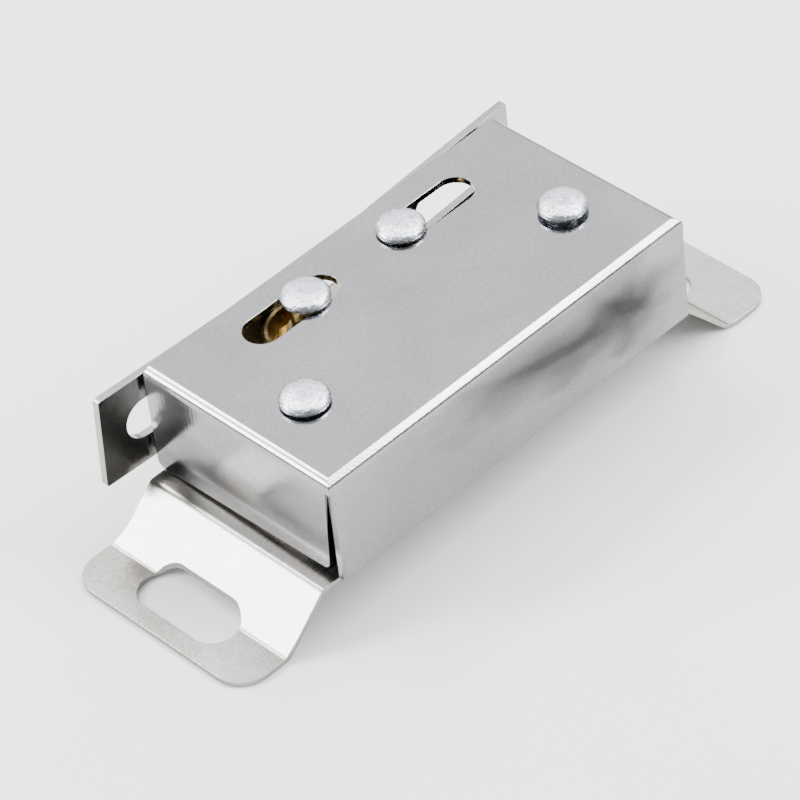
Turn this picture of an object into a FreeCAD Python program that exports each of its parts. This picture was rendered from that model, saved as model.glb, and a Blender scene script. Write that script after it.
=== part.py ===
import FreeCAD, Part
import math
import os

# Double roller catch with its keeper engaged. Millimetres.
# X runs along the body, Y points to the open side where the keeper enters, Z is up from the
# mounting plane. The sizes below count from the middle of the body. On saving, every piece
# moves by -MIDDLE_X and -MIDDLE_Y, so that the origin is under the middle of the whole assembly.

V = FreeCAD.Vector
os.makedirs("parts", exist_ok=True)

# Driving dimensions
BODY_END_X = {"near": 22.5, "far": 22.85}
BODY_WIDTH = 23.6
COVER_TOP_Z = 16.9
BASE_TOP_Z = 5.2
COVER_SHEET = 0.65
COVER_BEND_R = 0.85
END_FLANGE_GAP = (0.85, 0.1)    # from the base plate to the end flanges: closed side, open side
END_FLANGE_TAPER = 1.5      # on the closed side, from the bend down to the lower edge
CORNER_RELIEF_DROP = 1.2    # the corner slits start this far below the top face
SIDE_FLANGE_INSET = {"near": 0.35, "far": 0.1}      # the side flange starts this far in
PIERCING_X = 0.35           # all pierced features sit this far off the middle of the body

FIXED_RIVET_X = 16.5        # from PIERCING_X, to each side
FIXED_RIVET_Y = -2.5
SLOT_Y = 7.25
SLOT_INNER_X = 3.25         # from PIERCING_X, to each side
SLOT_OUTER_X = 14.2
COVER_SLOT_WIDTH = 3.8
BASE_SLOT_WIDTH = 2.5

BASE_SHEET = 0.5
NECK_HALF_WIDTH = 11.1
PAD_Y = {"near": (-10.95, 11.75), "far": (-12.15, 11.0)}    # closed side, open side
UPPER_BEND_X = {"near": 24.0, "far": 23.3}
LOWER_BEND_X = {"near": 29.0, "far": 27.6}
EAR_END_X = {"near": 34.6, "far": 34.1}
PAD_CORNER_R = 3.0
FLARE_X = {"near": (27.0, 29.8), "far": (24.8, 29.6)}   # the edges move over from neck to ear here
BASE_INNER_BEND_R = 0.5
EAR_SLOT_CENTRE = {"near": (-30.3, 0.4), "far": (28.1, -0.45)}
EAR_SLOT_WIDTH = 5.0
EAR_SLOT_LENGTH = 11.4

HEAD_R = 2.35
HEAD_HEIGHT = 0.75
HEAD_RIM = 0.2
COLLAR_R = 1.6
COLLAR_HEIGHT = {"near": 0.28, "far": 0.5}
SHANK_R = 1.2
HOLE_R = 1.25
TAIL_R = 1.9
TAIL_HEIGHT = 0.6
SPACER_R = 1.8
AXLE_HEAD_GAP = 0.25
SLEEVE_R = 1.6
WASHER_R = 2.35
WASHER_HEIGHT = 0.42
AXIAL_PLAY = 0.05

ROLLER_R = 4.45
ROLLER_BOTTOM_Z = 9.0
ROLLER_TOP_Z = 13.5
ROLLER_RIM = 0.6
ROLLER_HUB_R = 2.1
ROLLER_RECESS = 1.9

SPEAR_X = -0.45             # the middle of the spear and of the two rollers
AXLE_HALF_SPACING = 6.09
KEEPER_X = -0.4             # the plate's middle, from SPEAR_X
KEEPER_LENGTH = 53.0
KEEPER_BOTTOM_Z = 6.1
KEEPER_TOP_Z = 15.95
KEEPER_SHEET = 0.75
KEEPER_OUTER_Y = 12.5
KEEPER_NEAR_SLANT = 0.6     # the near wing is this much longer at its lower edge
KEEPER_FLARE_DEG = {"near": 2.3, "far": 3.75}
KEEPER_FLARE_START = {"near": 6.6, "far": 3.55}     # from the keeper's middle
KEEPER_NOTCH_X = (-4.3, 7.35)                      # from the keeper's middle
KEEPER_CORNER_R = 0.25
KEEPER_SLOT_X = 18.35       # slot centre from the keeper's middle
KEEPER_SLOT_WIDTH = 4.25
KEEPER_SLOT_LENGTH = 11.2

TONGUE_BOTTOM_Z = 10.6
TONGUE_BEND_R = 1.05
TONGUE_ROOT_HALF = 3.0
TONGUE_NECK_HALF = 1.45
FLANK_SLOPE = 0.5           # sideways per unit of length; the rollers follow it
FLANK_CLEARANCE = 0.03
HEAD_END_Y = 0.2            # where the spear head is widest
TIP_Y = -5.6
TIP_HALF = 0.7

SPRING_WIRE_R = 0.25
SPRING_COIL_R = 1.05
SPRING_TURNS = 11
SPRING_Z = 7.1

SIDES = (("near", -1), ("far", 1))
COVER_UNDER_Z = COVER_TOP_Z - COVER_SHEET
BASE_UNDER_Z = BASE_TOP_Z - BASE_SHEET


def box(x0, x1, y0, y1, z0, z1):
    return Part.makeBox(x1 - x0, y1 - y0, z1 - z0, V(x0, y0, z0))


def cylinder(radius, x, y, z0, z1):
    return Part.makeCylinder(radius, z1 - z0, V(x, y, z0))


def prism(points, direction):
    """A solid from a closed polygon of vectors pushed along a direction."""
    wire = Part.makePolygon(points + [points[0]])
    return Part.Face(wire).extrude(direction)


def turned(profile, x, y):
    """A solid of revolution about a vertical axis from (radius, z) points."""
    wire = Part.makePolygon([V(r, 0, z) for r, z in profile + [profile[0]]])
    solid = Part.Face(wire).revolve(V(0, 0, 0), V(0, 0, 1), 360)
    solid.translate(V(x, y, 0))
    return solid


def ring(outer_r, inner_r, x, y, z0, z1):
    return cylinder(outer_r, x, y, z0, z1).cut(cylinder(inner_r, x, y, z0 - 1, z1 + 1))


def slot_along_x(x0, x1, y, width, z0, z1):
    r = width / 2
    middle = box(x0 + r, x1 - r, y - r, y + r, z0, z1)
    return middle.fuse([cylinder(r, x0 + r, y, z0, z1), cylinder(r, x1 - r, y, z0, z1)])


def slot_along_y(x, y0, y1, width, z0, z1):
    r = width / 2
    middle = box(x - r, x + r, y0 + r, y1 - r, z0, z1)
    return middle.fuse([cylinder(r, x, y0 + r, z0, z1), cylinder(r, x, y1 - r, z0, z1)])


def wing_rise(side):
    """How far the end of a keeper wing stands out from the keeper's middle."""
    return math.tan(math.radians(KEEPER_FLARE_DEG[side])) * (KEEPER_LENGTH / 2 - KEEPER_FLARE_START[side])


MIDDLE_X = (EAR_END_X["far"] - EAR_END_X["near"]) / 2
MIDDLE_Y = (KEEPER_OUTER_Y + wing_rise("far") + PAD_Y["far"][0]) / 2


def save(name, shape):
    solid = shape.removeSplitter()
    if solid.ShapeType != "Solid" and len(solid.Solids) == 1:
        solid = solid.Solids[0]
    solid.translate(V(-MIDDLE_X, -MIDDLE_Y, 0))
    solid.exportStep("parts/" + name + ".step")


def pierced_x(sign, distance):
    return PIERCING_X + sign * distance


def slot_range(sign):
    ends = sorted([pierced_x(sign, SLOT_INNER_X), pierced_x(sign, SLOT_OUTER_X)])
    return ends[0], ends[1]


def make_cover():
    near_x = -BODY_END_X["near"]
    far_x = BODY_END_X["far"]
    half_y = BODY_WIDTH / 2
    in_y = half_y - COVER_SHEET
    tol = 1e-6
    outer = box(near_x, far_x, -half_y, half_y, BASE_TOP_Z, COVER_TOP_Z)

    def rim_edges(shape, z, open_y):
        """The edges round the top at z, without the one on the open side."""
        return [
            e for e in shape.Edges
            if all(abs(v.Point.z - z) < tol for v in e.Vertexes)
            and not all(abs(v.Point.y - open_y) < tol for v in e.Vertexes)
        ]

    outer = outer.makeFillet(COVER_BEND_R, rim_edges(outer, COVER_TOP_Z, half_y))
    inner = box(near_x + COVER_SHEET, far_x - COVER_SHEET, -in_y, half_y + 5, BASE_TOP_Z - 5, COVER_UNDER_Z)
    inner = inner.makeFillet(COVER_BEND_R - COVER_SHEET, rim_edges(inner, COVER_UNDER_Z, half_y + 5))
    cover = outer.cut(inner)

    relief_z = COVER_TOP_Z - CORNER_RELIEF_DROP
    low = BASE_TOP_Z - 1
    for name, sign in SIDES:
        end_x = sign * BODY_END_X[name]
        x0, x1 = sorted([end_x + sign, end_x - sign * (COVER_SHEET + 0.001)])
        # The lower edge of the end flange, which rises away from the base plate
        gap = [
            V(x0, -in_y, low), V(x0, half_y + 1, low),
            V(x0, half_y + 1, BASE_TOP_Z + END_FLANGE_GAP[1]), V(x0, -in_y, BASE_TOP_Z + END_FLANGE_GAP[0]),
        ]
        cover = cover.cut(prism(gap, V(x1 - x0, 0, 0)))
        # Its tapered side
        taper = [V(x0, -in_y, relief_z), V(x0, END_FLANGE_TAPER - half_y, low), V(x0, -in_y, low)]
        cover = cover.cut(prism(taper, V(x1 - x0, 0, 0)))
        # The slit at the corner with the side flange
        c0, c1 = sorted([end_x + sign, end_x - sign * SIDE_FLANGE_INSET[name]])
        cover = cover.cut(box(c0, c1, -half_y - 1, -in_y, low, relief_z))
        x_slot0, x_slot1 = slot_range(sign)
        cover = cover.cut(
            slot_along_x(x_slot0, x_slot1, SLOT_Y, COVER_SLOT_WIDTH, COVER_UNDER_Z - 1, COVER_TOP_Z + 1)
        )
        rivet_x = pierced_x(sign, FIXED_RIVET_X)
        cover = cover.cut(cylinder(HOLE_R, rivet_x, FIXED_RIVET_Y, COVER_UNDER_Z - 1, COVER_TOP_Z + 1))

    def lower_flange_corner(p):
        on_closed_side = -in_y + 0.01 < p.y < 2.2 - half_y
        on_open_side = p.y > half_y - 0.01
        return p.z < BASE_TOP_Z + 1.2 and (on_closed_side or on_open_side)

    corners = [
        e for e in cover.Edges
        if len(e.Vertexes) == 2
        and all(lower_flange_corner(v.Point) for v in e.Vertexes)
        and abs(abs(e.Vertexes[0].Point.x - e.Vertexes[1].Point.x) - COVER_SHEET) < 0.01
    ]
    return cover.makeFillet(0.8, corners)


def along_y(shape, places):
    """The edges parallel to Y at any of the (x, z) places."""
    tol = 1e-6
    found = []
    for e in shape.Edges:
        if len(e.Vertexes) != 2 or abs(e.Vertexes[0].Point.y - e.Vertexes[1].Point.y) < tol:
            continue
        for x, z in places:
            if all(abs(v.Point.x - x) < tol and abs(v.Point.z - z) < tol for v in e.Vertexes):
                found.append(e)
    return found


def upright_at(shape, x):
    """The edges parallel to Z in the plane at x."""
    tol = 1e-6
    return [
        e for e in shape.Edges
        if len(e.Vertexes) == 2
        and abs(e.Vertexes[0].Point.z - e.Vertexes[1].Point.z) > tol
        and all(abs(v.Point.x - x) < tol for v in e.Vertexes)
    ]


def ear_plan(name, sign, z0, z1):
    """Plan of one ear: each edge moves over from the neck's in an S, and the outer corners are round."""
    start, end = (sign * x for x in FLARE_X[name])
    tip = sign * EAR_END_X[name]
    closed, opened = PAD_Y[name]
    bend = 0.55 * (end - start)

    def side(neck_y, ear_y):
        curve = Part.BezierCurve()
        places = [(start, neck_y), (start + bend, neck_y), (end - bend, ear_y), (end, ear_y)]
        curve.setPoles([V(x, y, z0) for x, y in places])
        return curve.toShape()

    edges = [
        side(-NECK_HALF_WIDTH, closed),
        Part.makeLine(V(end, closed, z0), V(tip, closed, z0)),
        Part.makeLine(V(tip, closed, z0), V(tip, opened, z0)),
        Part.makeLine(V(tip, opened, z0), V(end, opened, z0)),
        side(NECK_HALF_WIDTH, opened),
        Part.makeLine(V(start, NECK_HALF_WIDTH, z0), V(start, -NECK_HALF_WIDTH, z0)),
    ]
    ear = Part.Face(Part.Wire(Part.sortEdges(edges)[0])).extrude(V(0, 0, z1 - z0))
    return ear.makeFillet(PAD_CORNER_R, upright_at(ear, tip))


def make_base_plate():
    # The bent strip: each half outwards along the underside and back along the top
    around = []
    outer_bends = []
    inner_bends = []
    for name, sign in SIDES:
        upper = UPPER_BEND_X[name]
        lower = LOWER_BEND_X[name]
        shift = BASE_SHEET * math.tan(math.atan2(BASE_UNDER_Z, lower - upper) / 2)
        half = [
            (sign * upper, BASE_UNDER_Z), (sign * lower, 0), (sign * EAR_END_X[name], 0),
            (sign * EAR_END_X[name], BASE_SHEET), (sign * (lower + shift), BASE_SHEET),
            (sign * (upper + shift), BASE_TOP_Z),
        ]
        inner_bends += [half[0], half[4]]
        outer_bends += [half[1], half[5]]
        around += half if sign < 0 else half[::-1]
    strip = prism([V(x, -20, z) for x, z in around], V(0, 40, 0))
    strip = strip.makeFillet(BASE_SHEET + BASE_INNER_BEND_R, along_y(strip, outer_bends))
    strip = strip.makeFillet(BASE_INNER_BEND_R, along_y(strip, inner_bends))

    # Its plan: a straight neck between two rounded ears
    z0 = -1
    z1 = BASE_TOP_Z + 1
    plan = box(-FLARE_X["near"][0], FLARE_X["far"][0], -NECK_HALF_WIDTH, NECK_HALF_WIDTH, z0, z1)
    plate = strip.common(plan.fuse([ear_plan(name, sign, z0, z1) for name, sign in SIDES]))

    for name, sign in SIDES:
        x0, x1 = slot_range(sign)
        plate = plate.cut(slot_along_x(x0, x1, SLOT_Y, BASE_SLOT_WIDTH, z0, z1))
        plate = plate.cut(cylinder(HOLE_R, pierced_x(sign, FIXED_RIVET_X), FIXED_RIVET_Y, z0, z1))
        x, y = EAR_SLOT_CENTRE[name]
        reach = EAR_SLOT_LENGTH / 2
        plate = plate.cut(slot_along_y(x, y - reach, y + reach, EAR_SLOT_WIDTH, z0, z1))
    return plate


def tail_profile(z):
    """The formed tail from its upper face at z down."""
    low = z - TAIL_HEIGHT
    return [(0, low), (TAIL_R - 0.6, low), (TAIL_R, low + 0.3), (TAIL_R, z)]


def rivet(x, y, under_head, shank):
    """A rivet whose (radius, z) shank profile runs up to a low domed head with a small centre pit."""
    rim_z = under_head + HEAD_RIM
    top_z = under_head + HEAD_HEIGHT
    pit_r = 0.22
    pit_z = top_z - 0.12
    points = [V(r, 0, z) for r, z in shank + [(HEAD_R, under_head), (HEAD_R, rim_z)]]
    edges = [Part.makeLine(a, b) for a, b in zip(points, points[1:])]
    shoulder = V(HEAD_R - 0.42, 0, top_z - 0.16)
    edges.append(Part.Arc(points[-1], V(HEAD_R - 0.13, 0, rim_z + 0.24), shoulder).toShape())
    edges.append(Part.Arc(shoulder, V(HEAD_R / 2, 0, top_z - 0.035), V(pit_r, 0, top_z)).toShape())
    edges.append(Part.makeLine(V(pit_r, 0, top_z), V(0, 0, pit_z)))
    edges.append(Part.makeLine(V(0, 0, pit_z), points[0]))
    solid = Part.Face(Part.Wire(edges)).revolve(V(0, 0, 0), V(0, 0, 1), 360)
    solid.translate(V(x, y, 0))
    return solid


def make_fixed_rivet(side, x, y):
    under_head = COVER_TOP_Z + COLLAR_HEIGHT[side]
    shank = tail_profile(BASE_UNDER_Z)
    shank += [(SHANK_R, BASE_UNDER_Z), (SHANK_R, COVER_TOP_Z)]
    shank += [(COLLAR_R, COVER_TOP_Z), (COLLAR_R, under_head)]
    return rivet(x, y, under_head, shank)


def make_axle(x, y):
    under_head = COVER_TOP_Z + AXLE_HEAD_GAP
    tail_z = BASE_UNDER_Z - AXIAL_PLAY - WASHER_HEIGHT - AXIAL_PLAY
    shank = tail_profile(tail_z) + [(SHANK_R, tail_z), (SHANK_R, under_head)]
    return rivet(x, y, under_head, shank)


def make_roller(x, y):
    bevel = 0.3
    rim_inner = ROLLER_R - ROLLER_RIM
    low = ROLLER_BOTTOM_Z
    top = ROLLER_TOP_Z
    profile = [
        (HOLE_R, low), (ROLLER_HUB_R, low), (ROLLER_HUB_R, low + ROLLER_RECESS),
        (rim_inner - 0.3, low + ROLLER_RECESS), (rim_inner, low),
        (ROLLER_R - bevel, low), (ROLLER_R, low + bevel),
        (ROLLER_R, top - bevel), (ROLLER_R - bevel, top),
        (rim_inner, top), (rim_inner - 0.3, top - ROLLER_RECESS),
        (ROLLER_HUB_R, top - ROLLER_RECESS), (ROLLER_HUB_R, top), (HOLE_R, top),
    ]
    return turned(profile, x, y)


def flank_half_width(y):
    """Half width of the spear where a roller at rest touches it, along a straight flank."""
    length = math.sqrt(1 + FLANK_SLOPE ** 2)
    reach = ROLLER_R + FLANK_CLEARANCE
    touch_x = AXLE_HALF_SPACING - reach / length
    touch_y = SLOT_Y - reach * FLANK_SLOPE / length
    return touch_x + FLANK_SLOPE * (touch_y - y)


def make_keeper():
    inner_y = KEEPER_OUTER_Y - KEEPER_SHEET
    half = KEEPER_LENGTH / 2
    near_end = -half - KEEPER_NEAR_SLANT
    near_rise = wing_rise("near") + KEEPER_NEAR_SLANT * math.tan(math.radians(KEEPER_FLARE_DEG["near"]))
    outside = [
        (near_end, KEEPER_OUTER_Y + near_rise), (-KEEPER_FLARE_START["near"], KEEPER_OUTER_Y),
        (KEEPER_FLARE_START["far"], KEEPER_OUTER_Y), (half, KEEPER_OUTER_Y + wing_rise("far")),
    ]
    around = outside + [(x, y - KEEPER_SHEET) for x, y in reversed(outside)]
    plate = prism([V(x, y, KEEPER_BOTTOM_Z) for x, y in around], V(0, 0, KEEPER_TOP_Z - KEEPER_BOTTOM_Z))
    slanted_end = [
        V(near_end, 5, KEEPER_BOTTOM_Z), V(-half, 5, KEEPER_TOP_Z), V(-half, 5, KEEPER_TOP_Z + 1),
        V(near_end - 1, 5, KEEPER_TOP_Z + 1), V(near_end - 1, 5, KEEPER_BOTTOM_Z),
    ]
    plate = plate.cut(prism(slanted_end, V(0, 15, 0)))
    corners = [
        e for e in plate.Edges
        if len(e.Vertexes) == 2
        and all(v.Point.x < 0.01 - half or v.Point.x > half - 0.01 for v in e.Vertexes)
        and abs(e.Vertexes[0].Point.z - e.Vertexes[1].Point.z) < 1e-6
    ]
    plate = plate.makeFillet(KEEPER_CORNER_R, corners)

    tongue_top = TONGUE_BOTTOM_Z + KEEPER_SHEET
    bend_low = tongue_top - TONGUE_BEND_R
    notch0, notch1 = KEEPER_NOTCH_X
    plate = plate.cut(box(notch0, notch1, inner_y - 1, KEEPER_OUTER_Y + 1, bend_low, KEEPER_TOP_Z + 1))

    plate.translate(V(KEEPER_X, 0, 0))

    # The folded root of the tongue
    root = box(
        -TONGUE_ROOT_HALF, TONGUE_ROOT_HALF, inner_y - 1.0, KEEPER_OUTER_Y, bend_low - 0.4, tongue_top
    ).cut(box(-9, 9, inner_y - 3, inner_y, bend_low - 1, TONGUE_BOTTOM_Z))

    def bend_edge(shape, y, z):
        return [
            e for e in shape.Edges
            if len(e.Vertexes) == 2
            and all(abs(v.Point.y - y) < 1e-6 and abs(v.Point.z - z) < 1e-6 for v in e.Vertexes)
        ]

    root = root.makeFillet(TONGUE_BEND_R, bend_edge(root, KEEPER_OUTER_Y, tongue_top))
    root = root.makeFillet(TONGUE_BEND_R - KEEPER_SHEET, bend_edge(root, inner_y, TONGUE_BOTTOM_Z))

    # The spear that goes between the rollers
    neck_start_y = SLOT_Y
    while flank_half_width(neck_start_y) < TONGUE_NECK_HALF:
        neck_start_y -= 0.01
    right = [
        (TONGUE_ROOT_HALF, inner_y - 0.2), (TONGUE_NECK_HALF, inner_y - 2.2),
        (TONGUE_NECK_HALF, neck_start_y),
        (flank_half_width(HEAD_END_Y), HEAD_END_Y), (flank_half_width(HEAD_END_Y) - 0.25, HEAD_END_Y - 0.55),
        (TIP_HALF, TIP_Y + 0.35), (TIP_HALF - 0.3, TIP_Y),
    ]
    outline = right + [(-x, y) for x, y in reversed(right)]
    spear = prism([V(x, y, TONGUE_BOTTOM_Z) for x, y in outline], V(0, 0, KEEPER_SHEET))
    keeper = plate.fuse([root, spear])

    keeper.translate(V(SPEAR_X, 0, 0))
    middle_z = (KEEPER_BOTTOM_Z + KEEPER_TOP_Z) / 2
    r = KEEPER_SLOT_WIDTH / 2
    reach = KEEPER_SLOT_LENGTH / 2 - r
    for name, sign in SIDES:
        x = SPEAR_X + KEEPER_X + sign * KEEPER_SLOT_X
        cutter = box(x - reach, x + reach, 5, 20, middle_z - r, middle_z + r)
        for end in (-reach, reach):
            cutter = cutter.fuse(Part.makeCylinder(r, 15, V(x + end, 5, middle_z), V(0, 1, 0)))
        keeper = keeper.cut(cutter)
    return keeper


def spring_points(z):
    """Centre line of a tension spring from the eye round one axle to the eye round the other."""
    left = SPEAR_X - AXLE_HALF_SPACING
    right = SPEAR_X + AXLE_HALF_SPACING
    eye_r = SLEEVE_R + 0.05 + SPRING_WIRE_R
    body_left = left + eye_r + 0.75
    body_right = right - eye_r - 0.75
    eye_steps = 16
    points = []
    # Eye: from the side away from the coil body, round the axle, three quarters of a turn
    start = math.radians(100)
    end = math.radians(360)
    for i in range(eye_steps + 1):
        a = start + (end - start) * i / eye_steps
        points.append((left + eye_r * math.cos(a), SLOT_Y + eye_r * math.sin(a), z))
    steps = SPRING_TURNS * 16
    for i in range(steps + 1):
        a = 2 * math.pi * i / 16
        x = body_left + (body_right - body_left) * i / steps
        grow = min(1.0, i / 6.0, (steps - i) / 6.0)
        r = 0.35 + (SPRING_COIL_R - 0.35) * grow
        points.append((x, SLOT_Y + r * math.sin(a), z + r * math.cos(a)))
    for i in range(eye_steps + 1):
        a = math.radians(180) + (end - start) * i / eye_steps
        points.append((right + eye_r * math.cos(a), SLOT_Y + eye_r * math.sin(a), z))
    return [V(*p) for p in points]


def make_spring(z):
    curve = Part.BSplineCurve()
    curve.interpolate(spring_points(z))
    path = Part.Wire(curve.toShape())
    start = curve.value(curve.FirstParameter)
    direction = curve.tangent(curve.FirstParameter)[0]
    section = Part.Wire(Part.makeCircle(SPRING_WIRE_R, start, direction))
    return path.makePipeShell([section], True, True)


def main():
    save("cover", make_cover())
    save("base_plate", make_base_plate())
    save("keeper", make_keeper())
    save("tension_spring", make_spring(SPRING_Z))
    for name, sign in SIDES:
        fixed_x = pierced_x(sign, FIXED_RIVET_X)
        axle_x = SPEAR_X + sign * AXLE_HALF_SPACING
        washer_top = BASE_UNDER_Z - AXIAL_PLAY
        save("fixed_rivet_" + name, make_fixed_rivet(name, fixed_x, FIXED_RIVET_Y))
        save("spacer_tube_" + name, ring(SPACER_R, HOLE_R, fixed_x, FIXED_RIVET_Y, BASE_TOP_Z, COVER_UNDER_Z))
        save("axle_" + name, make_axle(axle_x, SLOT_Y))
        save("roller_" + name, make_roller(axle_x, SLOT_Y))
        save("upper_sleeve_" + name, ring(
            SLEEVE_R, HOLE_R, axle_x, SLOT_Y, ROLLER_TOP_Z + AXIAL_PLAY, COVER_UNDER_Z - AXIAL_PLAY))
        save("lower_sleeve_" + name, ring(
            SLEEVE_R, HOLE_R, axle_x, SLOT_Y, BASE_TOP_Z + AXIAL_PLAY, ROLLER_BOTTOM_Z - AXIAL_PLAY))
        save("tail_washer_" + name, ring(
            WASHER_R, HOLE_R, axle_x, SLOT_Y, washer_top - WASHER_HEIGHT, washer_top))


main()
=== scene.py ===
import math

import bpy
from mathutils import Matrix, Vector


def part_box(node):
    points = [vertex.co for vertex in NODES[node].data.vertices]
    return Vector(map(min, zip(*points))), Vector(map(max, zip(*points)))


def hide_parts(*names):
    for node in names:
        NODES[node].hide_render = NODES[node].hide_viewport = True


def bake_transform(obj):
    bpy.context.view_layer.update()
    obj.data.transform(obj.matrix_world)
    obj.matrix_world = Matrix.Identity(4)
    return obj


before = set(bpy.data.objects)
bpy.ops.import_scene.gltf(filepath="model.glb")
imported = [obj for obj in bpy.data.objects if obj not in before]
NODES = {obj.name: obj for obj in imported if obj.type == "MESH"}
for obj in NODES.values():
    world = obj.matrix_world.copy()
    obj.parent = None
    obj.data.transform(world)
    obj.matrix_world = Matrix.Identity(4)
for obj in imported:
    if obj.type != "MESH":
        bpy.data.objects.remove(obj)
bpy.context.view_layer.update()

# Everything is in metres; MM turns the real sizes, given in millimetres, into metres.
MM = 0.001

# Painted dark reflections on the cover, darker clouds in its colour that stand in for mirrored shade:
# centre, tilt, reach along each axis in millimetres, and depth.
# The first two lie on the closed side, the others low on the near end flange.
COVER_PAINTED_DARK_REFLECTIONS = (
    ((5.5, -12.7, 12.0), math.radians(8), (13.0, 1.0, 3.8), 0.82),
    ((15.0, -12.7, 11.4), math.radians(20), (6.5, 1.0, 4.8), 0.86),
    ((-22.9, 1.5, 6.6), 0.0, (1.2, 15.0, 4.6), 0.40),
    ((-22.9, 1.0, 7.8), 0.0, (2.0, 13.0, 4.0), 0.86),
)

# The inputs of a Map Range node
RANGE_ENDS = ("From Min", "From Max", "To Min", "To Max")

# ---------------------------------------------------------------- materials


class Graph:
    """Short names for building one material's node graph."""

    def __init__(self, name):
        self.material = bpy.data.materials.new(name)
        self.material.use_nodes = True
        self.tree = self.material.node_tree
        self.shader = self.tree.nodes["Principled BSDF"]
        coord = self.tree.nodes.new("ShaderNodeTexCoord")
        self.millimetres = self.vector(coord.outputs["Object"], scale=(1 / MM,) * 3)

    def link(self, a, b):
        self.tree.links.new(a, b)

    def set(self, name, value):
        socket = self.shader.inputs[name]
        if isinstance(value, bpy.types.NodeSocket):
            self.link(value, socket)
        else:
            socket.default_value = value

    def vector(self, source, scale=(1, 1, 1), location=(0, 0, 0), rotation=(0, 0, 0)):
        node = self.tree.nodes.new("ShaderNodeMapping")
        node.inputs["Scale"].default_value = scale
        node.inputs["Location"].default_value = location
        node.inputs["Rotation"].default_value = rotation
        self.link(source, node.inputs["Vector"])
        return node.outputs["Vector"]

    def noise(self, vector, scale, detail=3, roughness=0.55, distortion=0):
        node = self.tree.nodes.new("ShaderNodeTexNoise")
        node.inputs["Scale"].default_value = scale
        node.inputs["Detail"].default_value = detail
        node.inputs["Roughness"].default_value = roughness
        node.inputs["Distortion"].default_value = distortion
        self.link(vector, node.inputs["Vector"])
        return node.outputs["Fac"]

    def rings(self, vector, scale, distortion, detail_scale=1.0):
        """Rings about the Z axis."""
        node = self.tree.nodes.new("ShaderNodeTexWave")
        node.wave_type = "RINGS"
        node.rings_direction = "Z"
        node.inputs["Scale"].default_value = scale
        node.inputs["Distortion"].default_value = distortion
        node.inputs["Detail Scale"].default_value = detail_scale
        self.link(vector, node.inputs["Vector"])
        return node.outputs["Fac"]

    def remap(self, value, low, high, out_low, out_high):
        node = self.tree.nodes.new("ShaderNodeMapRange")
        for key, number in zip(RANGE_ENDS, (low, high, out_low, out_high)):
            node.inputs[key].default_value = number
        self.link(value, node.inputs["Value"])
        return node.outputs["Result"]

    def math(self, kind, a, b):
        node = self.tree.nodes.new("ShaderNodeMath")
        node.operation = kind
        for socket, value in zip(node.inputs, (a, b)):
            if isinstance(value, bpy.types.NodeSocket):
                self.link(value, socket)
            else:
                socket.default_value = value
        return node.outputs["Value"]

    def colours(self, value, stops):
        node = self.tree.nodes.new("ShaderNodeValToRGB")
        ramp = node.color_ramp
        while len(ramp.elements) < len(stops):
            ramp.elements.new(0.5)
        for element, (place, colour) in zip(ramp.elements, stops):
            element.position = place
            element.color = (*colour, 1)
        self.link(value, node.inputs["Fac"])
        return node.outputs["Color"]

    def painted_dark_reflection(self, centre, tilt, reach, depth):
        """Painted dark reflection: 1 outside and less inside a soft tilted cloud about a place in
        millimetres.
        """
        frame_of_cloud = self.tree.nodes.new("ShaderNodeMapping")
        frame_of_cloud.vector_type = "TEXTURE"
        frame_of_cloud.inputs["Location"].default_value = centre
        frame_of_cloud.inputs["Rotation"].default_value = (0, tilt, 0)
        frame_of_cloud.inputs["Scale"].default_value = reach
        self.link(self.millimetres, frame_of_cloud.inputs["Vector"])
        length = self.tree.nodes.new("ShaderNodeVectorMath")
        length.operation = "LENGTH"
        self.link(frame_of_cloud.outputs["Vector"], length.inputs[0])
        ragged = self.noise(frame_of_cloud.outputs["Vector"], 1.3, detail=1, distortion=0.2)
        far = self.math("ADD", length.outputs["Value"], self.remap(ragged, 0.3, 0.7, -0.24, 0.24))
        return self.remap(far, 0.15, 1.2, 1 - depth, 1.0)

    def darkened(self, colour, factor):
        node = self.tree.nodes.new("ShaderNodeVectorMath")
        node.operation = "SCALE"
        self.link(colour, node.inputs[0])
        self.link(factor, node.inputs["Scale"])
        return node.outputs["Vector"]

    def round_edges(self, radius):
        """Sheared edges catch the light as if slightly rounded."""
        node = self.tree.nodes.new("ShaderNodeBevel")
        node.samples = 4
        node.inputs["Radius"].default_value = radius
        self.link(node.outputs["Normal"], self.shader.inputs["Normal"])

    def bump(self, height, strength, distance):
        node = self.tree.nodes.new("ShaderNodeBump")
        node.inputs["Strength"].default_value = strength
        node.inputs["Distance"].default_value = distance
        self.link(height, node.inputs["Height"])
        existing = self.shader.inputs["Normal"]
        if existing.is_linked:
            self.link(existing.links[0].from_socket, node.inputs["Normal"])
        self.link(node.outputs["Normal"], existing)


EDGE_RADIUS = 0.10 * MM
ARC_CENTRE = {"cover": (-8, -30, 0), "base_plate": (20, 12, 0), "keeper": (0, 0, 0)}


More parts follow.
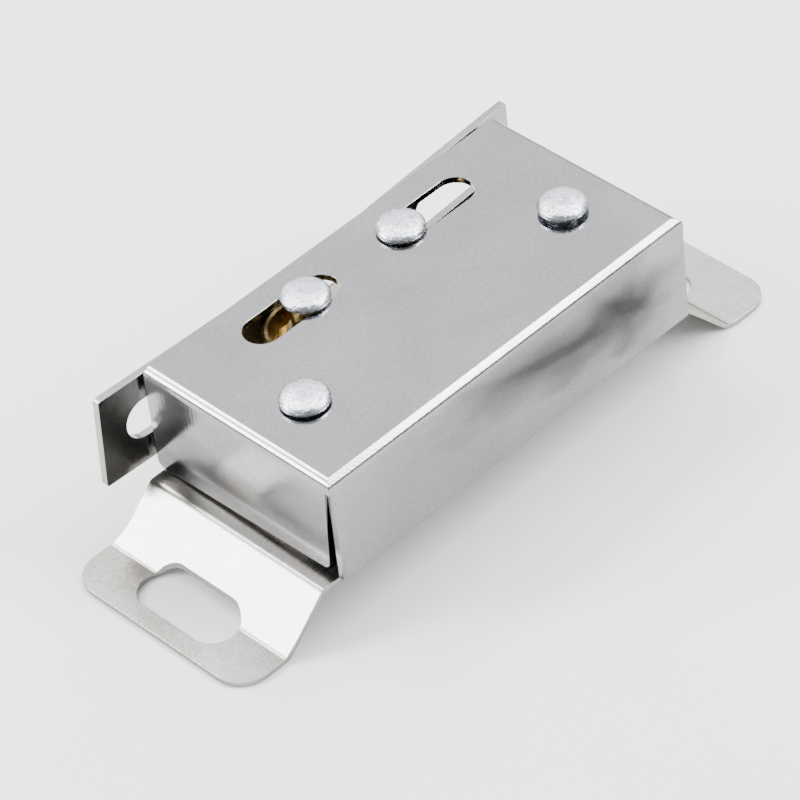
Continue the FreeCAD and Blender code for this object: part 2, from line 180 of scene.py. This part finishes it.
def plated_sheet(name, dark, light, rough, arc_centre, arc_strength, grain=0.12, painted_dark_reflections=()):
    """Nickel plate on pressed sheet: cloudy reflections, faint polishing arcs, fine scratches and any
    painted dark reflections given.
    """
    g = Graph(name)
    clouds = g.noise(g.millimetres, 0.09, detail=4, distortion=0.6)
    fine = g.noise(g.vector(g.millimetres, scale=(0.6, 9, 9)), 1.2, detail=5, roughness=0.7)
    arcs = g.rings(g.vector(g.millimetres, location=arc_centre), 0.95, distortion=2.2, detail_scale=0.8)
    scratches = g.noise(g.vector(g.millimetres, scale=(14, 0.5, 14), rotation=(0, 0, 0.5)), 0.9, detail=2)
    speckle = g.noise(g.millimetres, 2.6, detail=5, roughness=0.8)
    colour = g.colours(clouds, [(0.3, dark), (0.7, light)])
    colour = g.darkened(colour, g.remap(speckle, 0.38, 0.62, 0.86, 1.08))
    # Painted dark reflections: the colour is darkened inside each given cloud.
    for painted_dark_reflection in painted_dark_reflections:
        colour = g.darkened(colour, g.painted_dark_reflection(*painted_dark_reflection))
    g.set("Base Color", colour)
    g.set("Metallic", 1.0)
    worn = g.remap(clouds, 0.3, 0.7, *rough)
    g.set("Roughness", g.math("ADD", worn, g.remap(fine, 0.3, 0.7, -0.03, 0.03)))
    g.round_edges(EDGE_RADIUS)
    g.bump(fine, grain, 0.02 * MM)
    g.bump(arcs, arc_strength, 0.02 * MM)
    g.bump(g.remap(scratches, 0.62, 0.70, 0, 1), 0.10, 0.01 * MM)
    return g.material


def zinc_rivet(name):
    """Dull bluish zinc with soft dents and small dark pits."""
    g = Graph(name)
    blotches = g.noise(g.millimetres, 1.3, detail=5, roughness=0.7)
    pits = g.noise(g.millimetres, 3.6, detail=4, roughness=0.7)
    colour = g.colours(blotches, [(0.34, (0.44, 0.46, 0.51)), (0.62, (0.74, 0.77, 0.83))])
    g.set("Base Color", g.darkened(colour, g.remap(pits, 0.30, 0.42, 0.45, 1.0)))
    g.set("Metallic", 1.0)
    g.set("Roughness", g.remap(pits, 0.35, 0.65, 0.10, 0.30))
    g.bump(blotches, 0.8, 0.10 * MM)
    g.bump(g.remap(pits, 0.30, 0.45, 0, 1), 0.5, 0.05 * MM)
    return g.material


def turned_metal(name, dark, light, rough, centre):
    """A turned piece: fine rings about its own upright axis."""
    g = Graph(name)
    about = g.vector(g.millimetres, location=(-centre[0], -centre[1], 0))
    rings = g.rings(about, 2.4, distortion=0.4)
    stain = g.noise(g.millimetres, 0.35, detail=3)
    g.set("Base Color", g.colours(stain, [(0.3, dark), (0.7, light)]))
    g.set("Metallic", 1.0)
    g.set("Roughness", g.remap(stain, 0.3, 0.7, rough - 0.06, rough + 0.08))
    g.bump(rings, 0.2, 0.015 * MM)
    return g.material


def drawn_wire(name):
    """Grey wire with slightly uneven brightness."""
    g = Graph(name)
    streaks = g.noise(g.millimetres, 2.6, detail=3)
    g.set("Base Color", g.colours(streaks, [(0.3, (0.26, 0.27, 0.29)), (0.7, (0.50, 0.51, 0.54))]))
    g.set("Metallic", 1.0)
    g.set("Roughness", g.remap(streaks, 0.3, 0.7, 0.25, 0.42))
    g.bump(streaks, 0.2, 0.01 * MM)
    return g.material


def middle_of(node):
    """The middle of a CAD node's box, in millimetres."""
    return [(a + b) / 2 / MM for a, b in zip(*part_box(node))]


def paint(node_name, material):
    """One material on every slot of a CAD node."""
    for slot in NODES[node_name].material_slots:
        slot.material = material


# The cover's colour carries painted dark reflections on the closed side and low on the near end flange.
paint("cover", plated_sheet(
    "cover_plate", dark=(0.270, 0.273, 0.283), light=(0.325, 0.328, 0.338), rough=(0.10, 0.18),
    arc_centre=ARC_CENTRE["cover"], arc_strength=0.07, grain=0.10, painted_dark_reflections=COVER_PAINTED_DARK_REFLECTIONS))
paint("base_plate", plated_sheet(
    "base_plate_finish", dark=(0.35, 0.332, 0.308), light=(0.42, 0.407, 0.388), rough=(0.22, 0.32),
    arc_centre=ARC_CENTRE["base_plate"], arc_strength=0.05, grain=0.22))
paint("keeper", plated_sheet(
    "keeper_plate", dark=(0.30, 0.295, 0.28), light=(0.40, 0.395, 0.38), rough=(0.16, 0.26),
    arc_centre=ARC_CENTRE["keeper"], arc_strength=0.05))

# Dark colour, light colour and roughness
STEEL = ((0.34, 0.35, 0.37), (0.56, 0.57, 0.59), 0.32)
BRASS = ((0.42, 0.29, 0.11), (0.80, 0.63, 0.33), 0.26)
for side in ("near", "far"):
    axle_middle = middle_of("axle_" + side)
    rivet_finish = zinc_rivet("rivet_zinc_" + side)
    steel = turned_metal("turned_steel_" + side, *STEEL, axle_middle)
    brass = turned_metal("turned_brass_" + side, *BRASS, axle_middle)
    paint("fixed_rivet_" + side, rivet_finish)
    paint("axle_" + side, rivet_finish)
    tube_middle = middle_of("spacer_tube_" + side)
    paint("spacer_tube_" + side, turned_metal("tube_steel_" + side, *STEEL, tube_middle))
    paint("tail_washer_" + side, steel)
    for piece in ("upper_sleeve_", "lower_sleeve_", "roller_"):
        paint(piece + side, brass)
wire_finish = drawn_wire("spring_wire")
paint("tension_spring", wire_finish)

# ---------------------------------------------------------------- spring between the axles

# In millimetres
WIRE_RADIUS = 0.25
COIL_RADIUS = 1.05
LEAD_RADIUS = 0.35          # the coil's radius at its first and last point
EYE_CLEARANCE = 0.05        # between the sleeve and the wire of the eye
TAIL = 0.75                 # from the eye to the coil body

COIL_TURNS = 11
LEAD_TURNS = 0.4            # over which the coil reaches its full radius
STEPS_PER_TURN = 24
EYE_START = math.radians(100)
EYE_END = math.radians(360)


def spring_path(level):
    """Centre line from the eye round the near axle to the eye round the far one, in millimetres."""
    near_x, axle_y, _ = middle_of("axle_near")
    far_x = middle_of("axle_far")[0]
    sleeve_low, sleeve_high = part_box("lower_sleeve_near")
    sleeve_radius = (sleeve_high[0] - sleeve_low[0]) / 2 / MM
    eye = sleeve_radius + EYE_CLEARANCE + WIRE_RADIUS
    points = []
    for i in range(STEPS_PER_TURN + 1):
        turn = EYE_START + (EYE_END - EYE_START) * i / STEPS_PER_TURN
        points.append(Vector((near_x + eye * math.cos(turn), axle_y + eye * math.sin(turn), level)))
    body_start = near_x + eye + TAIL
    body_end = far_x - eye - TAIL
    steps = COIL_TURNS * STEPS_PER_TURN
    lead = LEAD_TURNS * STEPS_PER_TURN
    for i in range(steps + 1):
        turn = 2 * math.pi * i / STEPS_PER_TURN
        growth = min(1.0, i / lead, (steps - i) / lead)
        radius = LEAD_RADIUS + (COIL_RADIUS - LEAD_RADIUS) * growth
        x = body_start + (body_end - body_start) * i / steps
        points.append(Vector((x, axle_y + radius * math.sin(turn), level + radius * math.cos(turn))))
    for i in range(STEPS_PER_TURN + 1):
        turn = math.pi + (EYE_END - EYE_START) * i / STEPS_PER_TURN
        points.append(Vector((far_x + eye * math.cos(turn), axle_y + eye * math.sin(turn), level)))
    return points


def smooth_path(points, passes=2):
    """Corners rounded by averaging each point with its neighbours; the ends stay."""
    for _ in range(passes):
        points = [points[0]] + [
            points[i - 1] * 0.25 + points[i] * 0.5 + points[i + 1] * 0.25 for i in range(1, len(points) - 1)
        ] + [points[-1]]
    return points


def wire_rings(points, radius, corners=10):
    """A ring of vertices about each point, turned as little as possible from one to the next."""
    rings = []
    side = Vector((0, 0, 1))
    for i, point in enumerate(points):
        ahead = (points[min(i + 1, len(points) - 1)] - points[max(i - 1, 0)]).normalized()
        side = (side - ahead * side.dot(ahead)).normalized()
        other = ahead.cross(side)
        rings.append([
            (point + radius * (math.cos(a) * side + math.sin(a) * other)) * MM
            for a in (2 * math.pi * k / corners for k in range(corners))
        ])
    return rings


def tube_object(name, rings):
    """A closed tube through the rings, with a flat cap at each end."""
    corners = len(rings[0])
    vertices = [v for ring in rings for v in ring]
    faces = [list(range(corners))[::-1], [len(vertices) - corners + k for k in range(corners)]]
    for r in range(len(rings) - 1):
        for k in range(corners):
            n = (k + 1) % corners
            faces.append([r * corners + k, r * corners + n, (r + 1) * corners + n, (r + 1) * corners + k])
    mesh = bpy.data.meshes.new(name)
    mesh.from_pydata(vertices, [], faces)
    mesh.polygons.foreach_set("use_smooth", [True] * len(mesh.polygons))
    mesh.update()
    piece = bpy.data.objects.new(name, mesh)
    bpy.context.collection.objects.link(piece)
    piece.data.materials.append(wire_finish)
    return piece


def add_spring(node):
    """Two halves that meet over the middle of the frame, each stretched between it and one axle."""
    level = middle_of(node)[2]
    points = smooth_path(spring_path(level))
    middle_x = (middle_of("axle_near")[0] + middle_of("axle_far")[0]) / 2
    cut = next(i for i, p in enumerate(points) if p.x > middle_x)
    rings = wire_rings(points, WIRE_RADIUS)
    for side, part in (("near", rings[:cut + 1]), ("far", rings[cut:])):
        half = tube_object(node + "_half_" + side, part)
        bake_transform(half)
        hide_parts(node)


add_spring("tension_spring")

# ---------------------------------------------------------------- floor, light, camera

AZIMUTH = math.radians(-40.4)
ELEVATION = math.radians(42.28)
ROLL = math.radians(-7.2)
AIM = Vector((-3.07, -1.08, 6.47)) * MM
CAMERA_DISTANCE = 404.1 * MM
LENS = 200.3
SENSOR_WIDTH = 36
TOWARD_CAMERA = Vector((
    math.sin(AZIMUTH) * math.cos(ELEVATION), -math.cos(AZIMUTH) * math.cos(ELEVATION), math.sin(ELEVATION)))

FLOOR_SIZE = 6
FLOOR_DROP = 0.02 * MM      # below the ears, so the two surfaces don't coincide

ROOM = 1.3                  # brightness overhead
HORIZON = 0.30              # brightness at the height of the floor
CAMERA_SHADE = 0.30         # share of the room's light that comes from round the camera
REAR_GLOW = 2.1             # the rear wall, which the top face mirrors, against the room
LIGHT_DISTANCE = 0.60

# Each panel: first and last angle of the bend that it lights, in degrees, width and radiance
END_BEND_PANELS = ((9, 22, 0.10, 26.0), (22, 37, 0.10, 5.0), (37, 52, 0.20, 26.0))
SIDE_BEND_PANELS = ((9, 30, 0.10, 26.0), (30, 52, 0.10, 26.0))


def mirrored(normal):
    """The direction that a surface with this normal mirrors into the camera."""
    n = Vector(normal).normalized()
    return 2 * TOWARD_CAMERA.dot(n) * n - TOWARD_CAMERA


def make_floor():
    bpy.ops.mesh.primitive_plane_add(size=FLOOR_SIZE, location=(0, 0, -FLOOR_DROP))
    floor = bpy.context.object
    floor.name = "floor"
    g = Graph("floor_paper")
    tint = g.colours(g.noise(g.millimetres, 0.02), [(0.3, (0.90, 0.90, 0.90)), (0.7, (0.93, 0.93, 0.93))])
    g.set("Base Color", tint)
    g.set("Roughness", 0.9)
    floor.data.materials.append(g.material)


def make_world():
    """A room that is darker near the horizon and round the camera, with a bright rear wall."""
    world = bpy.data.worlds.new("studio")
    bpy.context.scene.world = world
    world.use_nodes = True
    tree = world.node_tree
    background = tree.nodes["Background"]
    coord = tree.nodes.new("ShaderNodeTexCoord")

    def ramp(source, low, high, out_low, out_high):
        node = tree.nodes.new("ShaderNodeMapRange")
        node.interpolation_type = "SMOOTHSTEP"
        for key, number in zip(RANGE_ENDS, (low, high, out_low, out_high)):
            node.inputs[key].default_value = number
        tree.links.new(source, node.inputs["Value"])
        return node.outputs["Result"]

    def closeness(direction):
        node = tree.nodes.new("ShaderNodeVectorMath")
        node.operation = "DOT_PRODUCT"
        node.inputs[1].default_value = direction
        tree.links.new(coord.outputs["Generated"], node.inputs[0])
        return node.outputs["Value"]

    def product(a, b):
        node = tree.nodes.new("ShaderNodeMath")
        node.operation = "MULTIPLY"
        tree.links.new(a, node.inputs[0])
        tree.links.new(b, node.inputs[1])
        return node.outputs["Value"]

    # Each ramp runs between two cosines of the angle to its direction
    height = ramp(closeness((0, 0, 1)), 0.0, 0.40, HORIZON, ROOM)
    round_camera = ramp(closeness(TOWARD_CAMERA), 0.70, 0.93, 1.0, CAMERA_SHADE)
    rear_wall = ramp(closeness(mirrored((0, 0, 1))), 0.78, 0.94, 1.0, REAR_GLOW)
    tree.links.new(product(height, product(round_camera, rear_wall)), background.inputs["Strength"])
    background.inputs["Color"].default_value = (1, 1, 1, 1)


def add_panel(name, start, end, width, radiance):
    """A flat light of even brightness that spans two directions as seen from the object."""
    a = start * LIGHT_DISTANCE
    b = end * LIGHT_DISTANCE
    light = bpy.data.lights.new(name, "AREA")
    light.shape = "RECTANGLE"
    light.size = (b - a).length
    light.size_y = width
    light.energy = radiance * math.pi * light.size * light.size_y
    holder = bpy.data.objects.new(name, light)
    bpy.context.collection.objects.link(holder)
    along = (b - a).normalized()
    outward = (a + b).normalized()
    turn = Matrix((along, outward.cross(along), outward)).transposed().to_4x4()
    holder.matrix_world = Matrix.Translation((a + b) / 2) @ turn


def add_bend_lights(name, lean, panels):
    """Panels in the directions that a rounded bend mirrors; lean turns an angle into its normal."""
    for i, (first, last, width, radiance) in enumerate(panels):
        start = mirrored(lean(math.radians(first)))
        end = mirrored(lean(math.radians(last)))
        add_panel(name + "_" + str(i + 1), start, end, width, radiance)


def make_camera():
    """Long lens, looking down on the near end and the closed side, and slightly rolled."""
    data = bpy.data.cameras.new("camera")
    data.lens = LENS
    data.sensor_width = SENSOR_WIDTH
    data.clip_start = 0.01
    camera = bpy.data.objects.new("camera", data)
    bpy.context.collection.objects.link(camera)
    turn = (-TOWARD_CAMERA).to_track_quat("-Z", "Y").to_matrix().to_4x4()
    place = Matrix.Translation(AIM + TOWARD_CAMERA * CAMERA_DISTANCE)
    camera.matrix_world = place @ turn @ Matrix.Rotation(ROLL, 4, "Z")
    bpy.context.scene.camera = camera


make_floor()
make_world()
add_bend_lights("end_bend_light", lambda a: (-math.sin(a), 0, math.cos(a)), END_BEND_PANELS)
add_bend_lights("side_bend_light", lambda a: (0, -math.sin(a), math.cos(a)), SIDE_BEND_PANELS)
make_camera()
